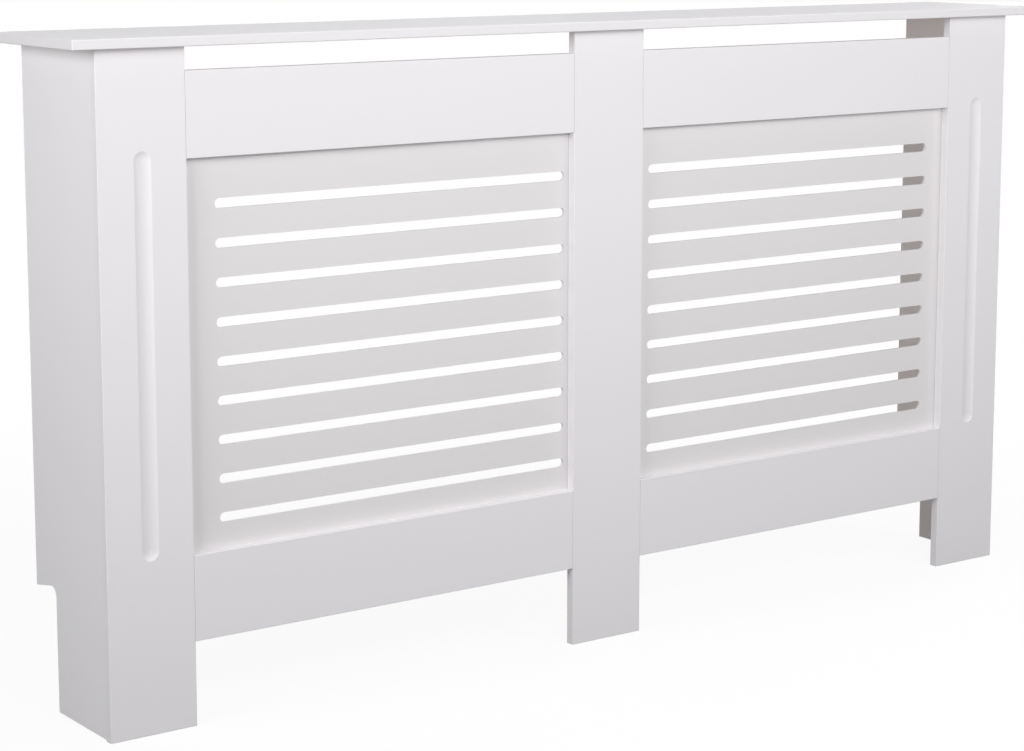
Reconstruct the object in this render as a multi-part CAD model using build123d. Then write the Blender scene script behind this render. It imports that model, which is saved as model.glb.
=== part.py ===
from build123d import *

import os
from collections import namedtuple
from math import asin, degrees, sqrt

# A two-bay radiator cover: a shallow painted box with no back, that stands on the floor against
# a wall and hides a radiator. X runs left to right as seen from the room, Y from the room to the
# wall, Z up. The origin is on the floor, under the middle of the shelf. All sizes in millimetres.

# Overall size, over the shelf
width = 1520.0
depth = 205.0
height = 815.0

# Boards
shelf_thickness = 12.0
frame_thickness = 12.0
side_thickness = 12.0
grille_thickness = 4.0
shelf_end_overhang = 34.0
shelf_front_overhang = 15.0
outer_stile_width = 113.0
centre_stile_width = 112.0
top_rail_height = 101.0
bottom_rail_height = 104.0
vent_gap = 28.0
toe_gap = 103.0
side_floor_gap = 2.0
skirting_height = 148.0
skirting_rise = 10.0
skirting_depth = 54.0
skirting_corner_radius = 12.0
shelf_edge_radius = 1.5
board_edge_radius = 0.8

# Routed flute of the outer stiles
flute_width = 22.0
flute_depth = 3.0
flute_above_bottom_rail = 2.0
flute_past_top_rail_edge = 12.0

# Slotted grille panels, which lap onto the back of the frame
grille_side_lap = 31.5
grille_end_lap = 26.5
grille_inset = 11.5
grille_shift = 6.0
slot_height = 12.0
slot_pitch = 46.8
slot_end_margin = 24.5
first_slot_rise = 37.0
grille_screw_count = 2
grille_screw_inset = 80.0

# Tenons at the ends of the rails
fit_clearance = 0.05
end_clearance = 0.5
tenon_length = 12.0
tenon_thickness = 4.0
tenon_shoulder = 12.0

# Dowels
dowel_diameter = 6.0
dowel_length = 30.0
blind_skin = 4.0
side_dowel_count = 2
side_dowel_inset = 50.0
shelf_dowel_inset = 45.0

# Cam locks and their bolts
side_cam_count = 2
side_cam_inset = 150.0
cam_diameter = 12.0
cam_below_bolt = 3.5
cam_wall = 1.6
cam_roof = 2.4
bolt_reach = 24.0
bolt_thread_depth = 7.5
bolt_diameter = 5.0
bolt_neck_diameter = 3.0
bolt_head_height = 1.8
bolt_head_clearance = 0.2

# Screws
screw_diameter = 3.5
screw_length = 12.0
screw_head_diameter = 7.0
screw_head_height = 2.2

# Wall brackets
bracket_leg = 34.0
bracket_width = 16.0
bracket_thickness = 2.0
bracket_bend_radius = 3.0
bracket_corner_radius = 3.0
bracket_hole_diameter = 4.5
bracket_hole_spacing = 14.0
bracket_hole_inset = 12.0

# Planes and edges that these sizes give
frame_half = width / 2 - shelf_end_overhang
front_y = shelf_front_overhang - depth / 2
frame_mid_y = front_y + frame_thickness / 2
frame_back_y = front_y + frame_thickness
wall_y = depth / 2
under_shelf_z = height - shelf_thickness
side_inner_x = frame_half - side_thickness
side_mid_x = frame_half - side_thickness / 2
stile_mid_x = frame_half - outer_stile_width / 2
bottom_rail_z = (toe_gap, toe_gap + bottom_rail_height)
top_rail_z = (under_shelf_z - vent_gap - top_rail_height, under_shelf_z - vent_gap)
bracket_z = sum(top_rail_z) / 2

# The opening of a bay, between its stiles and its rails
bay_inner_x = centre_stile_width / 2
bay_outer_x = frame_half - outer_stile_width
bay_mid_x = (bay_inner_x + bay_outer_x) / 2
bay_width = bay_outer_x - bay_inner_x
bay_mid_z = (bottom_rail_z[1] + top_rail_z[0]) / 2
bay_height = top_rail_z[0] - bottom_rail_z[1]

SIDES = {"left": -1, "right": 1}
ACROSS, BACKWARD, DOWN = Vector(1, 0, 0), Vector(0, 1, 0), Vector(0, 0, -1)
FROM_TOP = (Align.CENTER, Align.CENTER, Align.MAX)
FROM_BOTTOM = (Align.CENTER, Align.CENTER, Align.MIN)


# Shapes and spacings that many pieces share

def board(x0, x1, y0, y1, z0, z1):
    """A sawn board between two corners, whose X ends come in either order."""
    blank = Box(abs(x1 - x0), y1 - y0, z1 - z0)
    return Pos((x0 + x1) / 2, (y0 + y1) / 2, (z0 + z1) / 2) * blank


def eased_front(blank):
    """A board with the four edges round its front face taken off."""
    return fillet(blank.faces().sort_by(Axis.Y)[0].edges(), board_edge_radius)


def rod(start, direction, diameter, length):
    """A round bar, or the cut for a round hole, from a point along a direction."""
    return Plane(origin=start, z_dir=direction) * Cylinder(diameter / 2, length, align=FROM_BOTTOM)


def turned(*profile):
    """A solid turned about Z, from its outline in (radius, height) points."""
    return revolve(Plane.XZ * make_face(Polyline(*profile, close=True)), Axis.Z)


def spaced(first, last, count):
    """Evenly spaced values, with both ends among them."""
    return [first + (last - first) * index / max(count - 1, 1) for index in range(count)]


def pair(spacing):
    """Two offsets, either side of a middle."""
    return spaced(-spacing / 2, spacing / 2, 2)


# Joints. Each has an axis through the seam of two boards, which points into the second board.
# reach is how far its dowel or bolt goes into the first. face leads from the middle of the
# second board's thickness to the side of it that a cam is let into.

Joint = namedtuple("Joint", "seam axis reach face")


def side_joints(side, reach, heights):
    """An outer stile's back against the front edge of the side panel behind it."""
    for level in heights:
        seam = Vector(side * side_mid_x, frame_back_y, level)
        yield Joint(seam, BACKWARD, reach, ACROSS * (-side * side_thickness / 2))


def side_panel_tops(side, reach, places):
    """The shelf's underside against the top edge of a side panel."""
    for place in places:
        seam = Vector(side * side_mid_x, place, under_shelf_z)
        yield Joint(seam, DOWN, reach, ACROSS * (-side * side_thickness / 2))


def stile_tops(reach, places):
    """The shelf's underside against the tops of the stiles."""
    for place in places:
        seam = Vector(place, frame_mid_y, under_shelf_z)
        yield Joint(seam, DOWN, reach, BACKWARD * (frame_thickness / 2))


def both_sides(joints, *settings):
    """One kind of joint on the left, then on the right."""
    return [joint for side in SIDES.values() for joint in joints(side, *settings)]


def side_heights(inset, count):
    """Places up a side panel, the first and last as far from its ends as the inset."""
    return spaced(side_floor_gap + inset, under_shelf_z - inset, count)


in_frame, in_shelf = frame_thickness - blind_skin, shelf_thickness - blind_skin
shelf_dowel_places = (frame_back_y + shelf_dowel_inset, wall_y - shelf_dowel_inset)
dowel_joints = {
    "side_panel": both_sides(side_joints, in_frame, side_heights(side_dowel_inset, side_dowel_count)),
    "shelf": both_sides(side_panel_tops, in_shelf, shelf_dowel_places),
}
cam_joints = {
    "side_panel": both_sides(side_joints, bolt_thread_depth, side_heights(side_cam_inset, side_cam_count)),
    "shelf": list(stile_tops(bolt_thread_depth, (-stile_mid_x, 0, stile_mid_x))),
}


# Dowels

def dowel(joint):
    """A beech dowel."""
    return rod(joint.seam - joint.axis * joint.reach, joint.axis, dowel_diameter, dowel_length)


def dowel_hole(joint):
    """The hole for a dowel, in both boards."""
    start = joint.seam - joint.axis * (joint.reach + end_clearance)
    return rod(start, joint.axis, dowel_diameter + 2 * fit_clearance, dowel_length + 2 * end_clearance)


# Cam locks and bolts

cam_radius = cam_diameter / 2 - fit_clearance
cavity_radius = cam_radius - cam_wall


def cam_place(joint):
    """A cam's own frame: Z out of the board that it is let into, X towards the bolt."""
    centre = joint.seam + joint.axis * bolt_reach + joint.face
    return Plane(origin=centre, x_dir=-joint.axis, z_dir=joint.face)


def cam_depth(joint):
    """A cam reaches a little past its bolt, which runs in the middle of the board."""
    return joint.face.length + cam_below_bolt


def cam_lock(joint):
    """A hollow drum, turned home: its way in for the bolt's head is a quarter turn from the neck."""
    drum = Cylinder(cam_radius, cam_depth(joint), align=FROM_TOP)
    cavity = Cylinder(cavity_radius, cam_depth(joint) - cam_roof, align=FROM_TOP)
    way_width = bolt_diameter + 2 * bolt_head_clearance
    track_width = bolt_neck_diameter + 2 * bolt_head_clearance
    way_in = Box(way_width, cam_diameter, way_width, align=(Align.CENTER, Align.MAX, Align.CENTER))
    track = Box(cam_diameter, cam_diameter, track_width, align=(Align.MIN, Align.MAX, Align.CENTER))
    openings = Pos(Z=-joint.face.length) * (way_in + Pos(Y=track_width / 2) * track)
    return cam_place(joint) * (drum - Pos(Z=-cam_roof) * cavity - openings)


def cam_bolt(joint):
    """A bolt screwed into the first board, whose necked head the cam holds."""
    shank, neck = bolt_diameter / 2, bolt_neck_diameter / 2
    shoulder = bolt_reach - cam_radius - bolt_head_clearance
    head_front = bolt_reach - sqrt(cavity_radius ** 2 - shank ** 2) + bolt_head_clearance
    head_end = head_front + bolt_head_height
    bolt = turned((0, -bolt_thread_depth), (shank, -bolt_thread_depth), (shank, shoulder), (neck, shoulder),
                  (neck, head_front), (shank, head_front), (shank, head_end), (0, head_end))
    return Plane(origin=joint.seam, z_dir=joint.axis) * bolt


def cam_hole(joint):
    """The pocket for a cam, and the bore for its bolt in both boards."""
    start = joint.seam - joint.axis * (bolt_thread_depth + end_clearance)
    bore = rod(start, joint.axis, bolt_diameter + 2 * fit_clearance, bolt_thread_depth + bolt_reach)
    pocket = Cylinder(cam_diameter / 2, cam_depth(joint), align=FROM_TOP)
    return bore + cam_place(joint) * pocket


# Screws. A seat is the middle of the underside of a screw's head, and the way the screw goes in.

def screw(seat, way):
    """A pan-head wood screw."""
    shank, head = screw_diameter / 2, screw_head_diameter / 2
    blank = turned((0, screw_length), (shank, screw_length), (shank, 0), (head, 0),
                   (head, -screw_head_height), (0, -screw_head_height))
    return Plane(origin=seat, z_dir=way) * blank


def screw_hole(seat, way):
    """The hole for a screw's shank."""
    return rod(seat, way, screw_diameter + 2 * fit_clearance, screw_length + end_clearance)


# The front frame

def flute(middle):
    """A flute as a round-nosed bit leaves it: the bit at both ends, its profile drawn between them."""
    half_width = flute_width / 2
    low = bottom_rail_z[1] + flute_above_bottom_rail + half_width
    high = top_rail_z[0] + flute_past_top_rail_edge - half_width
    bit_radius = (half_width ** 2 + flute_depth ** 2) / (2 * flute_depth)
    rim_angle = degrees(asin(1 - flute_depth / bit_radius))
    nose = CenterArc((0, flute_depth - bit_radius), bit_radius, rim_angle, 90 - rim_angle)
    rest = Polyline(nose @ 1, (0, -flute_depth), (half_width, -flute_depth), nose @ 0)
    half = make_face(nose + rest)
    bit = revolve(half, Axis.Y)
    groove = extrude(half + mirror(half, Plane.YZ), high - low)
    return Pos(middle, front_y, low) * (bit + groove + Pos(Z=high - low) * bit)


def tenons(side, levels, gap=0, end_gap=0):
    """The tenons at both ends of a rail, as one board, or with gaps the cut for their mortises."""
    reach, half = tenon_length + end_gap, tenon_thickness / 2 + gap
    return board(side * (bay_inner_x - reach), side * (bay_outer_x + reach), frame_mid_y - half,
                 frame_mid_y + half, levels[0] + tenon_shoulder - gap, levels[1] - tenon_shoulder + gap)


def rail(side, levels):
    """A rail between the centre stile and an outer stile, flush with both."""
    blank = board(side * bay_inner_x, side * bay_outer_x, front_y, frame_back_y, *levels)
    return eased_front(blank) + tenons(side, levels)


mortises = [tenons(side, levels, fit_clearance, end_clearance)
            for side in SIDES.values() for levels in (bottom_rail_z, top_rail_z)]


def stile(x0, x1):
    """An upright of the front frame, from the floor to the shelf, with mortises for the rails."""
    return eased_front(board(x0, x1, front_y, frame_back_y, 0, under_shelf_z)) - mortises


def outer_stile(side):
    """An end upright, with a flute down its middle."""
    return stile(side * bay_outer_x, side * frame_half) - flute(side * stile_mid_x)


# Grille panels

slot_length = bay_width - 2 * slot_end_margin
slot_count = int((bay_height - 2 * first_slot_rise) // slot_pitch) + 1
slots_mid_z = bottom_rail_z[1] + first_slot_rise + (slot_count - 1) * slot_pitch / 2


def grille_mid_x(side):
    """Both panels sit nearer the centre stile than their bays, and a little right of mirror-true."""
    return side * (bay_mid_x - grille_inset) + grille_shift


def grille_panel(side):
    """A thin board behind the frame, with a column of round-ended slots."""
    sheet = Rectangle(bay_width + 2 * grille_side_lap, bay_height + 2 * grille_end_lap)
    slots = GridLocations(0, slot_pitch, 1, slot_count) * SlotOverall(slot_length, slot_height)
    sheet = Pos(Y=bay_mid_z - slots_mid_z) * sheet - slots
    front = Plane(origin=(grille_mid_x(side), frame_back_y, slots_mid_z), x_dir=(1, 0, 0), z_dir=(0, -1, 0))
    return extrude(front * sheet, -grille_thickness)


def grille_screw_seats(side):
    """A row of screws into each rail, along the middle of the panel's lap on it."""
    across = spaced(*pair(bay_width - 2 * grille_screw_inset), grille_screw_count)
    up = [bay_mid_z + offset for offset in pair(bay_height + grille_end_lap)]
    back_y = frame_back_y + grille_thickness
    return [(Vector(side * bay_mid_x + x, back_y, z), -BACKWARD) for x in across for z in up]


# Shelf and side panels

def top_shelf():
    """The shelf, with every edge eased but those of its rear face, which meets the wall."""
    blank = board(-width / 2, width / 2, -depth / 2, wall_y, under_shelf_z, height)
    rear = blank.faces().sort_by(Axis.Y)[-1]
    return fillet(blank.edges() - rear.edges(), shelf_edge_radius)


def side_panel(side):
    """An end panel behind its stile, cut out at the foot to clear a skirting board.

    The top of the cut-out climbs a little from the wall, and ends in a round corner.
    """
    levels = (side_floor_gap, under_shelf_z)
    blank = board(side * side_inner_x, side * frame_half, frame_back_y, wall_y, *levels)
    blank = fillet(blank.edges().filter_by(Axis.Z).group_by(Axis.Y)[-1], board_edge_radius)
    inner, top = (-skirting_depth, 0), (-skirting_depth, skirting_height + skirting_rise)
    edge = FilletPolyline((0, skirting_height), top, inner, radius=skirting_corner_radius)
    outline = make_face(edge + Polyline(inner, (0, 0), (0, skirting_height)))
    foot = Plane(origin=(side * side_mid_x, wall_y, 0), x_dir=(0, 1, 0), z_dir=(1, 0, 0))
    return blank - extrude(foot * outline, side_thickness, both=True)


# Wall brackets

bracket_hole_insets = (bracket_hole_inset, bracket_hole_inset + bracket_hole_spacing)


def wall_bracket(side):
    """A folded steel angle: one leg on the side panel, and one flat in the plane of the wall."""
    fold = FilletPolyline((0, -bracket_leg), (0, 0), (-bracket_leg, 0), radius=bracket_bend_radius)
    angle = make_brake_formed(bracket_thickness, bracket_width, fold, side=Side.LEFT)
    corners = angle.edges().filter_by(GeomType.LINE).group_by(SortBy.LENGTH)[0]
    angle = fillet(corners, bracket_corner_radius)
    angle = Pos(Z=-angle.center(CenterOf.BOUNDING_BOX).Z) * angle
    for inset in bracket_hole_insets:
        angle -= rod((0, -inset, 0), (-1, 0, 0), bracket_hole_diameter, bracket_thickness)
        angle -= rod((-inset, 0, 0), (0, -1, 0), bracket_hole_diameter, bracket_thickness)
    if side < 0:
        angle = mirror(angle, Plane.YZ)
    return Pos(side * side_inner_x, wall_y, bracket_z) * angle


def bracket_screw_seats(side):
    """The two screws that hold a wall bracket to its side panel."""
    leg_x = side * (side_inner_x - bracket_thickness)
    return [(Vector(leg_x, wall_y - inset, bracket_z), ACROSS * side) for inset in bracket_hole_insets]


# Drilling, and writing one file for each node. Loose pieces of one kind share a node.

def write(name, solids):
    """One node of the assembly."""
    export_step(Compound(label=name, children=list(solids)), f"parts/{name}.step")


screw_seats = {f"{name}_grille_screws": grille_screw_seats(side) for name, side in SIDES.items()}
screw_seats["wall_bracket_screws"] = [seat for side in SIDES.values() for seat in bracket_screw_seats(side)]

boards = {"top_shelf": top_shelf(), "centre_stile": stile(-bay_inner_x, bay_inner_x)}
for name, side in SIDES.items():
    boards[f"{name}_side_panel"] = side_panel(side)
    boards[f"{name}_stile"] = outer_stile(side)
    boards[f"{name}_top_rail"] = rail(side, top_rail_z)
    boards[f"{name}_bottom_rail"] = rail(side, bottom_rail_z)
    boards[f"{name}_grille_panel"] = grille_panel(side)

holes = [dowel_hole(joint) for joints in dowel_joints.values() for joint in joints]
holes += [cam_hole(joint) for joints in cam_joints.values() for joint in joints]
holes += [screw_hole(*seat) for seats in screw_seats.values() for seat in seats]

os.makedirs("parts", exist_ok=True)
for name, blank in boards.items():
    write(name, (blank - holes).solids())
for name, side in SIDES.items():
    write(f"{name}_wall_bracket", [wall_bracket(side)])
for name, joints in dowel_joints.items():
    write(f"{name}_dowels", [dowel(joint) for joint in joints])
for name, joints in cam_joints.items():
    write(f"{name}_cam_locks", [cam_lock(joint) for joint in joints])
    write(f"{name}_cam_bolts", [cam_bolt(joint) for joint in joints])
for name, seats in screw_seats.items():
    write(name, [screw(*seat) for seat in seats])
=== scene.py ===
# %% [markdown]
# # A radiator cover cabinet
#
# The real object is a shallow box of fibreboard boards that stands against a wall over a radiator. Its
# front is a frame of three stiles and four rails round two slotted grilles, a shelf lies on top, and
# everything is sprayed with white satin paint. The construction comes ready-made as a fixed frame in
# metres: X runs along the front, Y towards the wall and Z up. What is left for Blender is the finish of
# every surface, the small hardware, the light and the camera.

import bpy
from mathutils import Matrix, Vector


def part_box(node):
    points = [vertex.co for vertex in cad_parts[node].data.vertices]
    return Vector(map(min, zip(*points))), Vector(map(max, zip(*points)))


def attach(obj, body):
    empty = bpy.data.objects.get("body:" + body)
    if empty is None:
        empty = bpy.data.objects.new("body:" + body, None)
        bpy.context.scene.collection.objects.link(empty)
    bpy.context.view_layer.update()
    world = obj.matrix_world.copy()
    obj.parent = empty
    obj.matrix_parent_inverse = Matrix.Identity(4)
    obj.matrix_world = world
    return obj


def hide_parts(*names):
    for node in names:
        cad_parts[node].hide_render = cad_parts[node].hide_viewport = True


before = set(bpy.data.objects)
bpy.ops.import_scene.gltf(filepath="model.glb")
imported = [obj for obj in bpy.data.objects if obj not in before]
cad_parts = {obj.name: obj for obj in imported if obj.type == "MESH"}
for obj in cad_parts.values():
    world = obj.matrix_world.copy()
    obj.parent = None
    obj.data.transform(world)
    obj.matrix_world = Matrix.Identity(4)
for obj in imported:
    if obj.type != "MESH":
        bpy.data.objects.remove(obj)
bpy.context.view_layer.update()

# %% Modules and units
from math import cos, radians, sin, tan, tau

import bmesh
import bpy
from mathutils import Matrix, Vector

MM = 0.001
TINY = 1e-9
PHOTO_WIDTH, PHOTO_HEIGHT = 1024, 751
print("photo:", PHOTO_WIDTH, "by", PHOTO_HEIGHT, "pixels")

# %% [markdown]
# ## The camera
#
# A product photographer stands well back with a long lens, so that the far end of a long cabinet doesn't
# shrink too much. The edges of the boards give the place of such a camera: lines that are parallel on the
# cabinet meet at two points in the picture. The picture's middle lies below the point that the lens
# looks at, which Blender calls a shift. A larger shift would stand the uprights quite straight, but it
# would push the cabinet out of the frame when the same camera is turned to look from another side.

# %% Camera
CAMERA_PLACE = Vector((-1.977, -2.617, 0.965))
CAMERA_TURN = radians(35.78)
CAMERA_TILT = radians(8.57)
FOCAL_LENGTH_PX = 2501.0
LENS_AXIS_ROW_PX = 278.5
SENSOR_WIDTH_MM = 36.0

camera_data = bpy.data.cameras.new("camera")
camera_data.sensor_width = SENSOR_WIDTH_MM
camera_data.lens = SENSOR_WIDTH_MM * FOCAL_LENGTH_PX / PHOTO_WIDTH
camera_data.shift_y = (LENS_AXIS_ROW_PX - PHOTO_HEIGHT / 2) / PHOTO_WIDTH
camera = bpy.data.objects.new("camera", camera_data)
bpy.context.scene.collection.objects.link(camera)
bpy.context.scene.camera = camera

level = cos(CAMERA_TILT)
looks_along = Vector((sin(CAMERA_TURN) * level, cos(CAMERA_TURN) * level, -sin(CAMERA_TILT)))
camera.location = CAMERA_PLACE
camera.rotation_mode = "QUATERNION"
camera.rotation_quaternion = looks_along.to_track_quat("-Z", "Y")
print("lens:", round(camera_data.lens, 1), "mm, shift:", round(camera_data.shift_y, 4))

# %% [markdown]
# ## Writing shaders as sums
#
# A finish is a small calculation that is done anew at each point of a surface: a little noise, a mask, a
# mix of two colours. Dragging nodes about hides that. Here a wrapped socket can be added, subtracted and
# multiplied like a number, and each operator adds the Math node that does the same in the material. A
# comparison gives 1 where it is true and 0 where it isn't, which makes a mask.


# %% Wire: a socket that can be used in an expression
class Wire:
    """An output socket. An operator on it adds a Math node, and gives that node's output."""

    def __init__(self, nodes, socket):
        self.nodes = nodes
        self.socket = socket

    def math(self, operation, *values):
        return self.nodes.node("Math", {"operation": operation}, dict(enumerate(values)))

    def __add__(self, other):
        return self.math("ADD", self, other)

    def __sub__(self, other):
        return self.math("SUBTRACT", self, other)

    def __rsub__(self, other):
        return self.math("SUBTRACT", other, self)

    def __mul__(self, other):
        return self.math("MULTIPLY", self, other)

    def __abs__(self):
        return self.math("ABSOLUTE", self)

    def __lt__(self, other):
        return self.math("LESS_THAN", self, other)

    def __gt__(self, other):
        return self.math("GREATER_THAN", self, other)

    __radd__ = __add__
    __rmul__ = __mul__


print("a Wire knows + - * < > and abs()")


# %% Nodes: a tree that grows one node at a time
class Nodes:
    """The node tree of a material or of the world."""

    def __init__(self, tree):
        self.tree = tree

    def node(self, kind, settings=None, sockets=None, output=0):
        """Any node: its settings come first, then the values or links of its sockets."""
        made = self.tree.nodes.new("ShaderNode" + kind)
        for name, value in (settings or {}).items():
            setattr(made, name, value)
        for name, value in (sockets or {}).items():
            self.plug(made.inputs[name], value)
        return Wire(self, made.outputs[output])

    def plug(self, socket, value):
        if isinstance(value, Wire):
            self.tree.links.new(value.socket, socket)
        else:
            socket.default_value = value


print("Nodes adds any node, and plugs in values or wires")

# %% [markdown]
# ### Patterns
#
# A few patterns come back in every finish: where a point lies, which way it faces, soft noise, a mix of two
# colours, and a relief. Place and direction are the object's own, so a pattern stays on its board
# wherever the board goes. Colours need Mix nodes, because a Math node would turn them grey.


# %% Patterns: what every finish is mixed from
class Patterns(Nodes):
    """A node tree that knows places, directions, noise, colours and relief."""

    def place(self):
        """Where the point lies on the object, in metres."""
        return self.node("TexCoord", output="Object")

    def facing(self, axis):
        """How squarely the surface faces along an axis, from -1 to 1."""
        normal = self.node("TexCoord", output="Normal")
        return self.node("VectorMath", {"operation": "DOT_PRODUCT"}, {0: normal, 1: axis}, output="Value")

    def stretched(self, scales):
        """The point's place, with each direction's own scale."""
        return self.node("VectorMath", {"operation": "MULTIPLY"}, {0: self.place(), 1: scales})

    def noise(self, size, detail=2.0, stretch=None):
        """Soft blotches of about this size in metres, from 0 to 1."""
        where = self.stretched(stretch) if stretch else self.place()
        return self.node("TexNoise", {}, {"Vector": where, "Scale": 1 / size, "Detail": detail}, output="Fac")

    def colours(self, factor, first, second):
        """A mix of two colours."""
        return self.node("Mix", {"data_type": "RGBA"}, {0: factor, 6: first, 7: second}, output=2)

    def bump(self, height, depth, below=None):
        """A normal that a height from 0 to 1 tilts, as a relief this deep in metres."""
        sockets = {"Height": height, "Distance": depth, "Strength": 1.0}
        if below:
            sockets["Normal"] = below
        return self.node("Bump", {}, sockets)


print("patterns for place, direction, noise, colour and relief")

# %% [markdown]
# ### One shader for each finish
#
# Paint, wood and metal all come from Blender's Principled shader. What is the same all over is set on its
# sockets once, and only what varies is fed in. Its sockets have spaces in their names, and Python's words
# can't, so an underscore stands for each space.


# %% Finish: a material that is built from expressions
class Finish(Patterns):
    """A material with one Principled shader, whose constant sockets are set when it is made."""

    def __init__(self, name, **constants):
        self.material = bpy.data.materials.new(name)
        self.material.use_nodes = True
        super().__init__(self.material.node_tree)
        self.shader = self.tree.nodes["Principled BSDF"]
        self.drive(**constants)

    def drive(self, **sockets):
        """Sets the shader's sockets, or feeds those that vary over the surface."""
        for name, value in sockets.items():
            self.plug(self.shader.inputs[name.replace("_", " ")], value)
        return self

    def paint(self, *nodes):
        """Puts the finish on nodes of the frame, or on modelled pieces."""
        for node in nodes:
            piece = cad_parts[node] if isinstance(node, str) else node
            piece.data.materials.clear()
            piece.data.materials.append(self.material)


print("a Finish is made, driven by patterns and painted on")

# %% [markdown]
# ## The studio
#
# The shades tell where the light came from. Each stile shades the grille on its right side only, the left
# wall of a flute is dark and its right wall bright, and a board's left edge is as bright as its face, so
# the strongest light comes from the left front, halfway between face and end. The shade under the top
# rail is narrower than the rail is thick and fades softly, so the lamps are low, with a weaker one above
# them. The front darkens by a quarter from the shelf to the floor, so they stand close, at the shelf's
# height. A lamp overhead lights the shelf's top, one at the right fills the shades, and a wide one behind
# is the white backdrop, which lights the inside and the rails' top edges. The photo doesn't show the right
# end, so a last lamp, which stands too far back to reach the front, lights it for whoever walks round.
#
# Light from several lamps adds up, and that gives a way to find their powers: render the cabinet with one
# lamp at a time, and look for the sum of those pictures that comes nearest to the tones wanted.

# %% Soft boxes
SOFT_BOXES = {
    "key": dict(place=(-0.6, -1.53, 1.15), aim=(0.7, 0.0, 0.7), size=(0.8, 0.5), watts=7.8),
    "high_key": dict(place=(-0.75, -1.75, 1.8), aim=(0.7, 0.0, 0.6), size=(0.9, 0.7), watts=7.0),
    "left": dict(place=(-2.2, -0.7, 1.15), aim=(-0.72, 0.0, 0.7), size=(1.2, 0.8), watts=21.3),
    "front_right": dict(place=(1.0, -1.7, 1.15), aim=(0.4, 0.0, 0.7), size=(1.6, 0.8), watts=15.5),
    "overhead": dict(place=(0.5, 0.1, 2.4), aim=(0.5, 0.0, 0.8), size=(1.8, 1.0), watts=11.3),
    "backdrop": dict(place=(0.0, 2.4, 0.8), aim=(0.0, 0.0, 0.7), size=(3.6, 1.4), watts=24.3),
    "back_right": dict(place=(2.2, 0.7, 0.9), aim=(0.75, 0.1, 0.4), size=(1.0, 0.8), watts=11.0),
}


def soft_box(name, place, aim, size, watts):
    """A rectangular area lamp that points at a spot on the cabinet, and doesn't show itself."""
    lamp = bpy.data.lights.new(f"{name}_soft_box", "AREA")
    lamp.shape = "RECTANGLE"
    lamp.size, lamp.size_y = size
    lamp.energy = watts
    holder = bpy.data.objects.new(lamp.name, lamp)
    holder.location = place
    holder.rotation_euler = (Vector(aim) - Vector(place)).to_track_quat("-Z", "Y").to_euler()
    holder.visible_camera = False
    bpy.context.scene.collection.objects.link(holder)


for name, setting in SOFT_BOXES.items():
    soft_box(name, **setting)
print("soft boxes:", ", ".join(SOFT_BOXES))

# %% [markdown]
# ## A white room with a trace of shadow
#
# A white background is easily had with strong light, but that light would also wash out the cabinet. The
# Light Path node tells what a ray has come for, so the room can be bright white for the rays that only
# look at it, and dim for those that carry its light to the boards. Reflections see the white too, or bare
# metal would mirror a dark room.
#
# The floor does the same: looked at, it glows white, and a small share of it is an ordinary pale floor on
# which the cabinet's shadow falls. That share fades out with the distance, so the floor has no visible end.
# For the light that it throws back up at the boards it is grey.

# %% The room
ROOM_LIGHT = 0.08
WHITE = (1.0, 1.0, 1.0, 1.0)


def sees_white(nodes):
    """1 for the rays that shall see plain white: the camera's own, and those off gloss or through glass."""
    first, *others = [nodes.node("LightPath", output=f"Is {kind} Ray")
                      for kind in ("Camera", "Glossy", "Transmission")]
    return sum(others, first)


world = bpy.data.worlds.new("white_room")
bpy.context.scene.world = world
world.use_nodes = True
room = Nodes(world.node_tree)
background = room.tree.nodes["Background"]
strength = room.node("MapRange", {}, {"Value": sees_white(room), "To Min": ROOM_LIGHT, "To Max": 1.0})
room.plug(background.inputs["Color"], WHITE)
room.plug(background.inputs["Strength"], strength)
print("room light:", ROOM_LIGHT)

# %% The floor
FLOOR_REACH = 40.0

floor_mesh = bpy.data.meshes.new("floor")
corners = [(x * FLOOR_REACH, y * FLOOR_REACH, 0.0) for x, y in ((-1, -1), (1, -1), (1, 1), (-1, 1))]
floor_mesh.from_pydata(corners, [], [(0, 1, 2, 3)])
floor = bpy.data.objects.new("floor", floor_mesh)
bpy.context.scene.collection.objects.link(floor)
print("floor:", 2 * FLOOR_REACH, "m wide")

# %% The floor's finish
FLOOR_GREY = (0.3, 0.3, 0.3, 1.0)
SHADOW_SHARE = 0.10
SHADOW_FADES_FROM, SHADOW_FADES_TO = 0.7, 1.8

pale = Finish("pale_floor", Roughness=0.9, Specular_IOR_Level=0.1)
seen = sees_white(pale)
pale.drive(Base_Color=pale.colours(seen, FLOOR_GREY, WHITE))
distance = pale.node("VectorMath", {"operation": "LENGTH"}, {0: pale.place()}, output="Value")
faded = pale.node("MapRange", {}, {"Value": distance, "From Min": SHADOW_FADES_FROM,
                                   "From Max": SHADOW_FADES_TO, "To Min": 1 - SHADOW_SHARE, "To Max": 1.0})
glow = pale.node("Emission", {}, {"Color": WHITE, "Strength": 1.0})
lit = Wire(pale, pale.shader.outputs[0])
mixed = pale.node("MixShader", {}, {0: seen * faded, 1: lit, 2: glow})
pale.plug(pale.tree.nodes["Material Output"].inputs["Surface"], mixed)
pale.paint(floor)
print("the shadow fades out between", SHADOW_FADES_FROM, "and", SHADOW_FADES_TO, "m from the middle")

# %% [markdown]
# ## White paint on fibreboard
#
# The boards are medium-density fibreboard under sprayed satin paint. From a distance they look plain,
# and close by they don't: the spray dries in a fine orange peel, the sawn edges drink more paint than the
# pressed faces and stay a little rougher and duller, a few dust nibs dry into the coat, and the inside
# got one thin coat that lets the warmer board through. Masks made from the surface's direction tell
# faces, edges and insides apart, so that one recipe serves every board.

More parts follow.
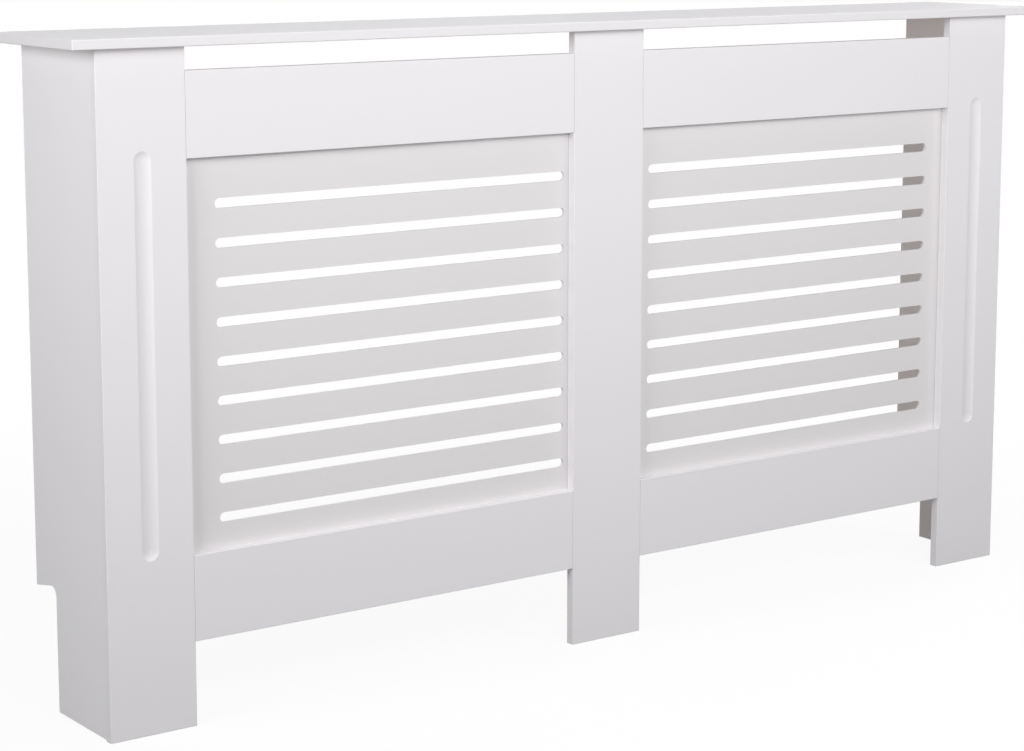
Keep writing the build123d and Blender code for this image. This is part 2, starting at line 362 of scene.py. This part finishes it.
# %% Paints
PAINT = (0.88, 0.862, 0.888, 1.0)
EDGE_PAINT = (0.865, 0.847, 0.868, 1.0)
GRILLE_PAINT = (0.81, 0.787, 0.797, 1.0)
THIN_COAT = (0.87, 0.815, 0.80, 1.0)
NIB = (0.45, 0.43, 0.40, 1.0)
# the dark of the cracks in the frame's joints, and of the painted shade in the grilles' corners
CRACK_AND_CORNER_SHADE = (0.28, 0.27, 0.27, 1.0)
print("base colour of the paint:", PAINT[:3])

# %% Directions
TO_THE_RIGHT, TO_THE_LEFT = (1.0, 0.0, 0.0), (-1.0, 0.0, 0.0)
TO_THE_BACK, TO_THE_FRONT = (0.0, 1.0, 0.0), (0.0, -1.0, 0.0)
UP, DOWN = (0.0, 0.0, 1.0), (0.0, 0.0, -1.0)
MOSTLY = 0.5
print("a face looks one way when its normal's share of that direction is over", MOSTLY)

# %% [markdown]
# ### Joints and corners
#
# Where two boards meet, the coat bridges the joint and cracks, which shows as a hairline. Real gaps would
# be too wide, because the boards fit closely, so the line is drawn in the paint. The joints lie on the
# edges of the stiles, between the heights of the rails, and the frame knows both. Where a stile covers a
# grille, a thin dark line of painted shade stands for the shade in that corner.

# %% Where the boards meet
LEFT_END, RIGHT_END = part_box("left_stile"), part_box("right_stile")
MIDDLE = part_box("centre_stile")
STILE_EDGES = [LEFT_END[1][0], MIDDLE[0][0], MIDDLE[1][0], RIGHT_END[0][0]]
RAIL_EDGES = [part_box(rail)[side][2] for rail in ("left_bottom_rail", "left_top_rail") for side in (0, 1)]
# the corner reach is half the width of the painted shade beside each stile on a grille
HAIRLINE_REACH, CORNER_SHADE_REACH = 0.3 * MM, 0.8 * MM
print("joints at x:", [round(x, 3) for x in STILE_EDGES], "rails at z:", [round(z, 3) for z in RAIL_EDGES])


# %% Hairlines and painted corner shade
def place_along(finish, letter):
    """The point's place along one axis."""
    return finish.node("SeparateXYZ", {}, {"Vector": finish.place()}, output=letter)


def near_any(value, places, reach):
    """Whether a value lies within reach of one of these places."""
    first, *others = [abs(value - place) < reach for place in places]
    return sum(others, first)


def joint_hairlines(finish):
    """The cracks in the coat between stiles and rails, on the stiles only beside a rail."""
    height = place_along(finish, "Z")
    low, low_top, high, high_top = RAIL_EDGES
    beside_rail = (height > low) * (height < low_top) + (height > high) * (height < high_top)
    return near_any(place_along(finish, "X"), STILE_EDGES, HAIRLINE_REACH) * beside_rail


def corner_shade_lines(finish):
    """Painted shade: dark lines on a grille's front where a stile covers it and shades the corner."""
    front = finish.facing(TO_THE_FRONT) > MOSTLY
    return near_any(place_along(finish, "X"), STILE_EDGES, CORNER_SHADE_REACH) * front


print("hairlines reach", HAIRLINE_REACH / MM, "mm to each side, corner lines", CORNER_SHADE_REACH / MM, "mm")

# %% [markdown]
# ### Dust nibs
#
# Dust that settles on wet paint dries in as small hard dots, a few on each board and no two alike. A
# Voronoi texture divides space into cells like a honeycomb. It tells how far a point is from its cell's
# middle, which makes the dot, and gives each cell a colour by lot, which decides whether it has one.

# %% Dust nibs
SMALL_NIBS = dict(spacing=26 * MM, radius=0.35 * MM, share=0.10)
LARGE_NIBS = dict(spacing=170 * MM, radius=1.0 * MM, share=0.30)


def nibs(finish, spacing, radius, share):
    """A dot in the middle of a share of the cells."""
    cells = {"Vector": finish.place(), "Scale": 1 / spacing}
    far = finish.node("TexVoronoi", {}, cells, output="Distance")
    draw = finish.node("TexVoronoi", {}, cells, output="Color")
    lot = finish.node("SeparateColor", {}, {"Color": draw}, output="Red")
    return (far < radius / spacing) * (lot < share)


print("nibs:", SMALL_NIBS["radius"] / MM, "and", LARGE_NIBS["radius"] / MM, "mm in radius")

# %% [markdown]
# ### The coat
#
# The colour is laid on in the order of the real work: the fresh coat with faint clouds in it, the edges,
# the inside, the nibs, and last the cracks and the painted shade in the grilles' corners. The relief goes
# the same way, from waves a hand wide down to fibre that stands up only where the paint is thin. The same
# masks make those places rougher.

# %% Sizes and shares of the coat
CLOUD, WAVE = 220 * MM, 60 * MM
PEEL, FIBRE = 2.2 * MM, 0.6 * MM
WAVE_DEPTH, RELIEF_DEPTH = 0.10 * MM, 0.02 * MM
FIBRE_HEIGHT, NIB_HEIGHT = 1.5, 2.0
EDGE_FIBRE, INSIDE_FIBRE = 0.8, 0.5
CLOUD_SHARE, EDGE_SHARE = 0.10, 0.8
NIB_SHARE, LINE_SHARE = 0.6, 0.38
BOARD_ROUGHNESS, SHELF_ROUGHNESS, GRILLE_ROUGHNESS = 0.44, 0.52, 0.48
PEEL_ROUGHENS, EDGE_ROUGHENS = 0.06, 0.12
INSIDE_ROUGHENS, CLOUD_ROUGHENS = 0.15, 0.04
PAINT_SPECULAR = 0.4
print("orange peel:", PEEL / MM, "mm across, relief:", RELIEF_DEPTH / MM, "mm")


# %% Painted board
def painted(name, thin, inward, colour=PAINT, roughness=BOARD_ROUGHNESS, lines=None):
    """Paint for boards whose thickness runs along thin, and whose unseen face looks inward."""
    finish = Finish(name, Specular_IOR_Level=PAINT_SPECULAR)
    edge = 1 - abs(finish.facing(thin))
    inside = finish.facing(inward) > MOSTLY
    dust = nibs(finish, **SMALL_NIBS) + nibs(finish, **LARGE_NIBS)
    cloud = finish.noise(CLOUD, detail=3.0)

    fresh = finish.colours(cloud * CLOUD_SHARE, colour, EDGE_PAINT)
    edged = finish.colours(edge * EDGE_SHARE, fresh, EDGE_PAINT)
    coated = finish.colours(inside, edged, THIN_COAT)
    specked = finish.colours(dust * NIB_SHARE, coated, NIB)
    # lines darken the paint: cracks in the frame's joints, or painted shade in the grilles' corners
    if lines:
        specked = finish.colours(lines(finish) * LINE_SHARE, specked, CRACK_AND_CORNER_SHADE)

    peel = finish.noise(PEEL, detail=2.0)
    fibre = finish.noise(FIBRE, detail=4.0) * (edge * EDGE_FIBRE + inside * INSIDE_FIBRE)
    waves = finish.bump(finish.noise(WAVE, detail=1.0), WAVE_DEPTH)
    relief = finish.bump(peel + fibre * FIBRE_HEIGHT + dust * NIB_HEIGHT, RELIEF_DEPTH, below=waves)
    rough = (roughness + peel * PEEL_ROUGHENS + edge * EDGE_ROUGHENS
             + inside * INSIDE_ROUGHENS + cloud * CLOUD_ROUGHENS)
    return finish.drive(Base_Color=specked, Roughness=rough, Normal=relief)


print("the recipe for painted boards is ready")

# %% [markdown]
# ### Five paints from one recipe
#
# The recipe has to know which way a board is thin, which tells its faces from its edges, and which way its
# unseen face looks. The frame's boards and the grilles are thin from front to back, the shelf is thin
# upwards, and the side panels across. The grilles are a shade darker than the frame in the photo, and the
# top of the shelf is the least glossy.

# %% Paint the boards
painted("frame_paint", TO_THE_BACK, TO_THE_BACK, lines=joint_hairlines).paint(
    "left_stile", "centre_stile", "right_stile",
    "left_top_rail", "right_top_rail", "left_bottom_rail", "right_bottom_rail")
painted("shelf_paint", UP, DOWN, roughness=SHELF_ROUGHNESS).paint("top_shelf")
painted("left_end_paint", TO_THE_RIGHT, TO_THE_RIGHT).paint("left_side_panel")
painted("right_end_paint", TO_THE_RIGHT, TO_THE_LEFT).paint("right_side_panel")
# the grilles get a line of painted shade where each stile covers them
painted("grille_paint", TO_THE_BACK, TO_THE_BACK, colour=GRILLE_PAINT, roughness=GRILLE_ROUGHNESS,
        lines=corner_shade_lines).paint("left_grille_panel", "right_grille_panel")
coats = [board.data.materials[0].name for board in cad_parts.values()]
print("painted boards:", sum(coat.endswith("_paint") for coat in coats))

# %% [markdown]
# ## Small hardware
#
# The frame's dowels, bolts and screws are plain round bars, which is all that a strength test needs. The
# real ones have threads, heads and flutes. A displaced texture could fake those, but the outline would
# stay smooth, and the outline is what a thread shows first. All of these pieces are round, with a radius
# that changes a little with the angle: a thread is a ridge that climbs as it goes round, and a dowel's
# flutes are a ripple that doesn't. So one function makes a closed skin from rings, and each piece only
# says how far out the skin lies at an angle and a height.

# %% Round pieces from rings
AROUND = 48
STEPS = [tau * step / AROUND for step in range(AROUND)]


def ring(height, radius_at):
    """One ring of a skin: its height, and its radius at each step of a turn."""
    return height, [radius_at(angle, height) for angle in STEPS]


def ringed(name, rings):
    """A closed mesh along Z through these rings, capped at both ends."""
    shape = bmesh.new()
    laid = []
    for height, radii in rings:
        points = [(radius * cos(angle), radius * sin(angle), height) for angle, radius in zip(STEPS, radii)]
        laid.append([shape.verts.new(point) for point in points])
    for lower, upper in zip(laid, laid[1:]):
        for step in range(AROUND):
            after = (step + 1) % AROUND
            shape.faces.new((lower[step], lower[after], upper[after], upper[step]))
    shape.faces.new(laid[0][::-1])
    shape.faces.new(laid[-1])
    mesh = bpy.data.meshes.new(name)
    shape.to_mesh(mesh)
    shape.free()
    return mesh


print("points in a ring:", AROUND)

# %% [markdown]
# ### Outlines and threads
#
# An outline is a short list of heights and radii, as a lathe would turn it, and between two of its points
# the radius changes evenly. A thread is added to it where the piece has one. A sharp shoulder needs two
# radii at almost the same height, so its second point lies a hair above the first.

# %% Outlines and threads
A_HAIR = 0.01 * MM
RINGS_PER_PITCH = 8


def even(start, end, step):
    """Heights from start to end, about a step apart."""
    count = max(1, round((end - start) / step))
    return [start + (end - start) * index / count for index in range(count + 1)]


def profile(points):
    """The radius at a height, read off an outline of (height, radius) points."""
    def radius(height):
        for (h0, r0), (h1, r1) in zip(points, points[1:]):
            if height <= h1:
                return r0 + (r1 - r0) * (height - h0) / max(h1 - h0, TINY)
        return points[-1][1]
    return radius


def thread(angle, height, pitch, depth):
    """How far a thread's ridge stands out: a V over two thirds of the pitch, which climbs with the angle."""
    turn = (height / pitch - angle / tau) % 1
    return depth * max(0.0, 1 - 3 * abs(turn - 0.5))


print("rings per pitch of a thread:", RINGS_PER_PITCH)

# %% [markdown]
# ### Screws
#
# Small pan-head screws hold the grilles to the frame and the brackets to the side panels. Their heads are
# low domes with a cross recess, and the crown of each shows from behind. The recess needs no cutting: the
# skin's first ring is a small cross at the bottom of the recess, its second a larger one on the crown, and
# from there the rings are round and go over the dome and down the thread to the point. A cross can be
# drawn as a radius like anything else, as long as its corners fall on steps of the turn.

# %% A cross on a ring
STEPS_TO_A_CORNER = 2
CROSS_CORNER = tan(STEPS[STEPS_TO_A_CORNER])


def cross(arm):
    """A cross of two bars seen along its axis, whose corners fall on steps of the turn."""
    def bar(along, beside):
        return min(arm / max(along, TINY), arm * CROSS_CORNER / max(beside, TINY))

    def radius_at(angle, height):
        along, beside = abs(cos(angle)), abs(sin(angle))
        return max(bar(along, beside), bar(beside, along))
    return radius_at


print("a cross's arm is", round(2 * CROSS_CORNER, 3), "times as wide as it is long")

# %% Screw
SCREW_DOME = [(height * MM, radius * MM) for height, radius in (
    (0.0, 2.1), (0.15, 2.6), (0.45, 3.0), (0.9, 3.35), (1.5, 3.5), (2.1, 3.5), (2.2, 3.35))]
HEAD_HEIGHT = SCREW_DOME[-1][0]
NECK_HEIGHT, NECK_FLARE = 0.8 * MM, 0.35 * MM
BARE_NECK = 1.2 * MM
SCREW_CORE = 1.15 * MM
POINT_LENGTH, POINT_RADIUS = 3.0 * MM, 0.12 * MM
SCREW_PITCH, SCREW_THREAD = 1.5 * MM, 0.6 * MM
RECESS_ARM, RECESS_DEPTH = 1.9 * MM, 1.3 * MM
RECESS_NARROWS_TO = 0.5


def screw_mesh(length):
    """A pan-head wood screw with its crown at the origin and its point up Z."""
    neck = [(HEAD_HEIGHT + A_HAIR, SCREW_CORE + NECK_FLARE), (HEAD_HEIGHT + NECK_HEIGHT, SCREW_CORE)]
    point = [(length - POINT_LENGTH, SCREW_CORE), (length, POINT_RADIUS)]
    outline = profile(SCREW_DOME + neck + point)
    thread_from = HEAD_HEIGHT + BARE_NECK

    def radius_at(angle, height):
        if height < thread_from:
            return outline(height)
        fade = min(1.0, (length - height) / POINT_LENGTH, (height - thread_from) / SCREW_PITCH)
        return outline(height) + fade * thread(angle, height, SCREW_PITCH, SCREW_THREAD)

    recess = [ring(RECESS_DEPTH, cross(RECESS_NARROWS_TO * RECESS_ARM)), ring(0.0, cross(RECESS_ARM))]
    threaded = even(thread_from, length, SCREW_PITCH / RINGS_PER_PITCH)
    heights = [height for height, _ in SCREW_DOME + neck] + threaded
    return ringed("screw", recess + [ring(height, radius_at) for height in heights])


print("screw head:", max(radius for _, radius in SCREW_DOME) * 2 / MM, "mm, pitch:", SCREW_PITCH / MM, "mm")

# %% [markdown]
# ### Cam bolts
#
# A cam bolt joins two boards that come apart again. One end has a coarse thread for the first board, and
# the other a head on a thin neck, which a cam in the second board catches and pulls. It was turned on a
# lathe, so a list of heights and radii says it all, apart from the thread.

# %% Cam bolt
BOLT_RADIUS, BOLT_CORE = 2.5 * MM, 1.9 * MM
BOLT_THREADED, LEAD_IN = 7.5 * MM, 1.2 * MM
BOLT_PITCH, BOLT_THREAD = 2.0 * MM, 0.6 * MM
THREAD_FADES_OVER = 1.0 * MM
BOLT_HEAD, BOLT_CHAMFER = 1.8 * MM, 0.5 * MM
BOLT_NECK, NECK_LENGTH = 1.5 * MM, 3.6 * MM
NECK_SLOPE = 0.4 * MM


def bolt_mesh(length):
    """A cam bolt: a coarse thread for the board, a shank, and a necked head for the cam."""
    under_head = length - BOLT_HEAD
    above_shank = under_head - NECK_LENGTH
    lead_in = [(0.0, BOLT_CORE - BOLT_CHAMFER), (LEAD_IN, BOLT_CORE)]
    shank = [(BOLT_THREADED, BOLT_CORE), (BOLT_THREADED + A_HAIR, BOLT_RADIUS), (above_shank, BOLT_RADIUS)]
    neck = [(above_shank + NECK_SLOPE, BOLT_NECK), (under_head, BOLT_NECK)]
    head = [(under_head + A_HAIR, BOLT_RADIUS), (length - BOLT_CHAMFER, BOLT_RADIUS), (length, BOLT_NECK)]
    outline = profile(lead_in + shank + neck + head)

    def radius_at(angle, height):
        if height > BOLT_THREADED:
            return outline(height)
        fade = min(1.0, height / THREAD_FADES_OVER, (BOLT_THREADED - height) / THREAD_FADES_OVER)
        return outline(height) + fade * thread(angle, height, BOLT_PITCH, BOLT_THREAD)

    threaded = even(0.0, BOLT_THREADED, BOLT_PITCH / RINGS_PER_PITCH)[:-1]
    heights = threaded + [height for height, _ in shank + neck + head]
    return ringed("bolt", [ring(height, radius_at) for height in heights])


print("bolt:", 2 * BOLT_RADIUS / MM, "mm thick, pitch:", BOLT_PITCH / MM, "mm")

# %% [markdown]
# ### Dowels
#
# Beech dowels locate the boards. Their ends are chamfered so that they find the hole, and fine flutes along
# them let the glue and the air out. With two points of the ring to each flute, every second one lies deeper.

# %% Dowel
DOWEL_RADIUS, DOWEL_CHAMFER = 3.0 * MM, 0.9 * MM
FLUTE_DEPTH = 0.18 * MM
FLUTES = AROUND // 2


def dowel_mesh(length):
    """A beech dowel with chamfered ends and flutes."""
    end_radius = DOWEL_RADIUS - DOWEL_CHAMFER
    points = [(0.0, end_radius), (DOWEL_CHAMFER, DOWEL_RADIUS),
              (length - DOWEL_CHAMFER, DOWEL_RADIUS), (length, end_radius)]
    outline = profile(points)

    def radius_at(angle, height):
        return outline(height) - FLUTE_DEPTH * (1 - cos(FLUTES * angle)) / 2

    return ringed("dowel", [ring(height, radius_at) for height, _ in points])


print("dowel:", 2 * DOWEL_RADIUS / MM, "mm thick, with", FLUTES, "flutes")

# %% [markdown]
# ### Putting a copy in each place
#
# A node of the frame holds several pieces of one kind, such as four screws. Points that share an edge belong
# to the same piece, so walking along the edges finds the pieces, and the box round each says where it is
# and how long. A copy then goes there, turned to run the same way, and each a little further round than the
# last, because nobody drives screws so that their crosses line up. One object holds all copies and stands
# for the node. It is shaded smoothly, which hides the steps of the rings, apart from real edges such as
# the rim of a recess.

# %% Find the pieces of a node
SAME_PLACE = 0.002 * MM


def loose_parts(node):
    """The lowest and highest corner of each separate piece in a node."""
    shape = bmesh.new()
    shape.from_mesh(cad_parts[node].data)
    bmesh.ops.remove_doubles(shape, verts=shape.verts, dist=SAME_PLACE)
    waiting, parts = set(shape.verts), []
    while waiting:
        found, to_visit = set(), [next(iter(waiting))]
        while to_visit:
            vert = to_visit.pop()
            if vert not in found:
                found.add(vert)
                to_visit += [edge.other_vert(vert) for edge in vert.link_edges]
        waiting -= found
        places = [vert.co for vert in found]
        low = Vector(min(p[axis] for p in places) for axis in range(3))
        high = Vector(max(p[axis] for p in places) for axis in range(3))
        parts.append((low, high))
    shape.free()
    return sorted(parts, key=lambda part: tuple(part[0]))


print("pieces in side_panel_dowels:", len(loose_parts("side_panel_dowels")))

# %% One copy at each piece
EACH_TURNED = 2.4


def one_at_each(node, make, way_of):
    """One mesh that holds a made copy where each separate piece of a node is, starting at its near end."""
    shape = bmesh.new()
    for index, (low, high) in enumerate(loose_parts(node)):
        middle, extent = (low + high) / 2, high - low
        way = Vector(way_of(middle))
        length = abs(extent.dot(way))
        mesh = make(length)
        turned = way.to_track_quat("Z", "Y").to_matrix().to_4x4()
        spun = Matrix.Rotation(index * EACH_TURNED, 4, "Z")
        mesh.transform(Matrix.Translation(middle - way * length / 2) @ turned @ spun)
        shape.from_mesh(mesh)
        bpy.data.meshes.remove(mesh)
    joined = bpy.data.meshes.new(f"{node}_detailed")
    shape.to_mesh(joined)
    shape.free()
    return joined


print("each copy is turned", EACH_TURNED, "radians further than the last")

# %% Show a mesh in place of a node
SHARP_FROM_DEGREES = 35


def show(mesh, node, finish):
    """Shows a mesh in place of a node."""
    mesh.set_sharp_from_angle(angle=radians(SHARP_FROM_DEGREES))
    mesh.polygons.foreach_set("use_smooth", [True] * len(mesh.polygons))
    piece = bpy.data.objects.new(f"{node}_detailed", mesh)
    bpy.context.scene.collection.objects.link(piece)
    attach(piece, "root")
    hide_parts(node)
    finish.paint(piece)
    print(node, "faces:", len(mesh.polygons))


def stand_in(node, make, way_of, finish):
    """A piece made of new copies, which replaces a node."""
    show(one_at_each(node, make, way_of), node, finish)


print("edges are shaded sharp from", SHARP_FROM_DEGREES, "degrees")

# %% [markdown]
# ### Cam locks
#
# A cam lock is a hollow zinc drum with a slot in its side for the bolt's head, and the frame has all of
# that. It only lacks the cross in its face that the driver turns. So the frame's own solids are kept, and
# a Boolean modifier takes a tapered cross out of each. The cut is made in a copy, because the frame's
# meshes have to stay as they are, and the copy is built from its points and faces alone: a mesh of the
# frame also stores its normals, and the modifier would carry them over to faces that they don't fit.

# %% The cross in a cam's face
CAM_CROSS_START, CAM_CROSS_END = -0.2 * MM, 1.3 * MM
CAM_CROSS_WIDE, CAM_CROSS_NARROW = 3.2 * MM, 2.0 * MM


def cross_mesh(length):
    """What the driver's cross takes out of a cam, whatever the cam's length: it narrows inwards."""
    return ringed("cross", [ring(CAM_CROSS_START, cross(CAM_CROSS_WIDE)),
                            ring(CAM_CROSS_END, cross(CAM_CROSS_NARROW))])


print("cross in a cam:", 2 * CAM_CROSS_WIDE / MM, "mm wide,", CAM_CROSS_END / MM, "mm deep")


# %% Cut a shape out of a node's solids
def plain_copy(node):
    """A mesh with only the points and faces of a node's solids."""
    solids = bmesh.new()
    solids.from_mesh(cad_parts[node].data)
    bmesh.ops.remove_doubles(solids, verts=solids.verts, dist=SAME_PLACE)
    solids.verts.index_update()
    faces = [[vert.index for vert in face.verts] for face in solids.faces]
    mesh = bpy.data.meshes.new("whole")
    mesh.from_pydata([vert.co[:] for vert in solids.verts], [], faces)
    solids.free()
    return mesh


def cut_into(node, make, way_of, finish):
    """The node's own solids with a shape cut out of each, which replace the node."""
    whole = bpy.data.objects.new("whole", plain_copy(node))
    cutter = bpy.data.objects.new("cutter", one_at_each(node, make, way_of))
    for thing in (whole, cutter):
        bpy.context.scene.collection.objects.link(thing)
    cut = whole.modifiers.new("cut", "BOOLEAN")
    cut.operation = "DIFFERENCE"
    cut.solver = "EXACT"
    cut.object = cutter
    result = bpy.data.meshes.new_from_object(whole.evaluated_get(bpy.context.evaluated_depsgraph_get()))
    for thing in (whole, cutter):
        bpy.data.meshes.remove(thing.data)
    show(result, node, finish)


print("cams in shelf_cam_locks:", len(loose_parts("shelf_cam_locks")))

# %% [markdown]
# ## Beech
#
# The dowels are beech, a pale brown wood with short dark flecks along the grain. Noise that is stretched
# along the dowels gives the flecks, and the same noise roughens the wood and raises its grain a little.
# Some dowels run along Y and the others along Z, so it is stretched both ways.

# %% Beech
BEECH_DARK = (0.62, 0.43, 0.26, 1.0)
BEECH_PALE = (0.80, 0.62, 0.42, 1.0)
FLECK, GRAIN_DEPTH = 1.2 * MM, 0.05 * MM
ALONG_THE_DOWELS = (1.0, 0.12, 0.12)
BEECH_ROUGHNESS, GRAIN_ROUGHENS = 0.6, 0.2

beech = Finish("beech", Specular_IOR_Level=0.3)
grain = beech.noise(FLECK, detail=4.0, stretch=ALONG_THE_DOWELS)
beech.drive(Base_Color=beech.colours(grain, BEECH_DARK, BEECH_PALE),
            Roughness=BEECH_ROUGHNESS + grain * GRAIN_ROUGHENS, Normal=beech.bump(grain, GRAIN_DEPTH))
print("beech from", BEECH_DARK[:3], "to", BEECH_PALE[:3])

# %% [markdown]
# ## Cast zinc
#
# The cam locks are cast, and come out of the mould dull and grainy. So one fine noise drives the colour,
# the roughness and the relief alike, and the high grains are also the pale ones.

# %% Cast zinc
ZINC_DARK = (0.50, 0.50, 0.52, 1.0)
ZINC_PALE = (0.66, 0.66, 0.68, 1.0)
GRIT, GRIT_DEPTH = 0.5 * MM, 0.03 * MM
ZINC_ROUGHNESS, GRIT_ROUGHENS = 0.45, 0.2

zinc = Finish("cast_zinc", Metallic=1.0)
grit = zinc.noise(GRIT, detail=3.0)
zinc.drive(Base_Color=zinc.colours(grit, ZINC_DARK, ZINC_PALE),
           Roughness=ZINC_ROUGHNESS + grit * GRIT_ROUGHENS, Normal=zinc.bump(grit, GRIT_DEPTH))
print("grit:", GRIT / MM, "mm across")

# %% [markdown]
# ## Plated steel
#
# Screws and bolts are steel with a bright coat of zinc, whose faint bloom turns from blue to straw. Soft
# noise mixes the two, and where it turns to straw the coat is also a little less bright.

# %% Plated steel
PLATED_BLUE = (0.70, 0.71, 0.74, 1.0)
PLATED_STRAW = (0.78, 0.76, 0.70, 1.0)
BLOOM, BLOOM_DEPTH = 2.0 * MM, 0.01 * MM
PLATED_ROUGHNESS, BLOOM_ROUGHENS = 0.25, 0.15

plated = Finish("plated_steel", Metallic=1.0)
bloom = plated.noise(BLOOM, detail=2.0)
plated.drive(Base_Color=plated.colours(bloom, PLATED_BLUE, PLATED_STRAW),
             Roughness=PLATED_ROUGHNESS + bloom * BLOOM_ROUGHENS, Normal=plated.bump(bloom, BLOOM_DEPTH))
print("bloom:", BLOOM / MM, "mm across")

# %% [markdown]
# ## Bracket steel
#
# The wall brackets are bent from plated sheet. Its coat has crystals, a few millimetres across, that are
# paler and darker, and rolling has left fine lines in it. The lines are noise that is stretched upwards.

# %% Bracket steel
SHEET_DARK = (0.62, 0.63, 0.66, 1.0)
SHEET_PALE = (0.74, 0.74, 0.75, 1.0)
SPANGLE, ROLLED_LINE = 3.0 * MM, 0.3 * MM
STRETCHED_UPWARDS = (1.0, 1.0, 0.04)
LINE_DEPTH = 0.01 * MM
SHEET_ROUGHNESS, SPANGLE_ROUGHENS, LINE_ROUGHENS = 0.28, 0.12, 0.10

rolled = Finish("bracket_steel", Metallic=1.0)
spangle = rolled.noise(SPANGLE, detail=2.0)
lines = rolled.noise(ROLLED_LINE, detail=2.0, stretch=STRETCHED_UPWARDS)
rolled.drive(Base_Color=rolled.colours(spangle, SHEET_DARK, SHEET_PALE),
             Roughness=SHEET_ROUGHNESS + spangle * SPANGLE_ROUGHENS + lines * LINE_ROUGHENS,
             Normal=rolled.bump(lines, LINE_DEPTH))
print("spangle:", SPANGLE / MM, "mm across")

# %% [markdown]
# ## Putting the hardware in
#
# The grilles' screws are driven from behind, and the brackets' screws from inside towards the ends. The
# dowels and bolts sit in the boards that they join, along Y for the side panels and along Z for the shelf,
# and each cam shows its cross on the face that a driver can reach. The brackets keep the frame's shape,
# which lacks nothing, and only get their finish.


# %% Put the hardware in
def outward(middle):
    """The way to the nearer end of the cabinet."""
    return TO_THE_LEFT if middle.x < 0 else TO_THE_RIGHT


for node in ("left_grille_screws", "right_grille_screws"):
    stand_in(node, screw_mesh, lambda middle: TO_THE_FRONT, plated)
stand_in("wall_bracket_screws", screw_mesh, outward, plated)
stand_in("side_panel_dowels", dowel_mesh, lambda middle: TO_THE_BACK, beech)
stand_in("shelf_dowels", dowel_mesh, lambda middle: DOWN, beech)
stand_in("side_panel_cam_bolts", bolt_mesh, lambda middle: TO_THE_BACK, plated)
stand_in("shelf_cam_bolts", bolt_mesh, lambda middle: DOWN, plated)
cut_into("side_panel_cam_locks", cross_mesh, outward, zinc)
cut_into("shelf_cam_locks", cross_mesh, lambda middle: TO_THE_FRONT, zinc)
rolled.paint("left_wall_bracket", "right_wall_bracket")

# %% [markdown]
# ## The view
#
# The Standard view shows a colour about as it is written, where Blender's usual one would grey the whites.

# %% The view transform
bpy.context.scene.view_settings.view_transform = "Standard"
print("view:", bpy.context.scene.view_settings.view_transform)
